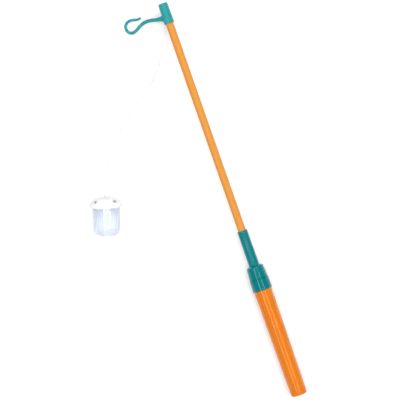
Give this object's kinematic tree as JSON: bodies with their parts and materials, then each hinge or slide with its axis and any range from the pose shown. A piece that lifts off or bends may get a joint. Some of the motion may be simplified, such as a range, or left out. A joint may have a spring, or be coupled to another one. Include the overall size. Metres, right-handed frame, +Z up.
{
  "type": "lantern stick",
  "caption": "Plastic lantern stick with a battery handle, a turning switch ring, an open hook at its tip and a small clear lamp on a thin lead, laid flat.",
  "frame": {"origin": "on the table, in the middle of the box that the stick and the lamp fill", "axes": "+Y along the stick from the battery handle to the tip, +Z up from the table, -X towards the hook and the lamp"},
  "size_m": [0.165, 0.4553, 0.0356],
  "materials": {
    "teal_plastic": "glossy moulded teal plastic",
    "orange_tube": "glossy extruded light orange plastic",
    "orange_handle": "glossy moulded orange plastic",
    "white_plastic": "glossy moulded white plastic",
    "clear_plastic": "clear moulded plastic",
    "white_lead": "soft white lead sheath",
    "black_plastic": "plain black moulding",
    "cell_jacket": "plain blue cell jacket",
    "nickel": "nickel-plated steel",
    "brass": "bare brass",
    "led_lens": "clear epoxy lens"
  },
  "bodies": {
    "stick": {"tip_hook_cap": "teal_plastic", "stick_tube": "orange_tube", "socket": "teal_plastic", "contact_carrier": "black_plastic", "positive_contact": "brass", "ring_contact": "brass", "inner_lead": "white_lead", "lamp_cord": "white_lead", "lamp_cap": "white_plastic", "lamp_holder": "white_plastic", "led": "led_lens", "led_anode_lead": "nickel", "led_cathode_lead": "nickel"},
    "switch_ring": {"switch_ring": "teal_plastic"},
    "handle": {"handle_shell": "orange_handle", "cell_lower": "cell_jacket", "cell_lower_button": "nickel", "cell_upper": "cell_jacket", "cell_upper_button": "nickel", "negative_spring": "nickel", "spring_plate": "nickel", "contact_strip": "brass"},
    "globe": {"lamp_globe": "clear_plastic"}
  },
  "joints": [
    {"name": "switch_turn", "type": "hinge", "parent": "stick", "child": "switch_ring", "pos_m": [0.0715, -0.09862, 0.0111], "axis": [0, 0.9999, 0.0164], "range_deg": [0, 60]},
    {"name": "handle_pull", "type": "slide", "parent": "switch_ring", "child": "handle", "axis": [0, -0.9999, -0.0164], "range_m": [0, 0.06]},
    {"name": "globe_pull", "type": "slide", "parent": "stick", "child": "globe", "axis": [-0.2907, -0.951, -0.1053], "range_m": [0, 0.015]}
  ]
}
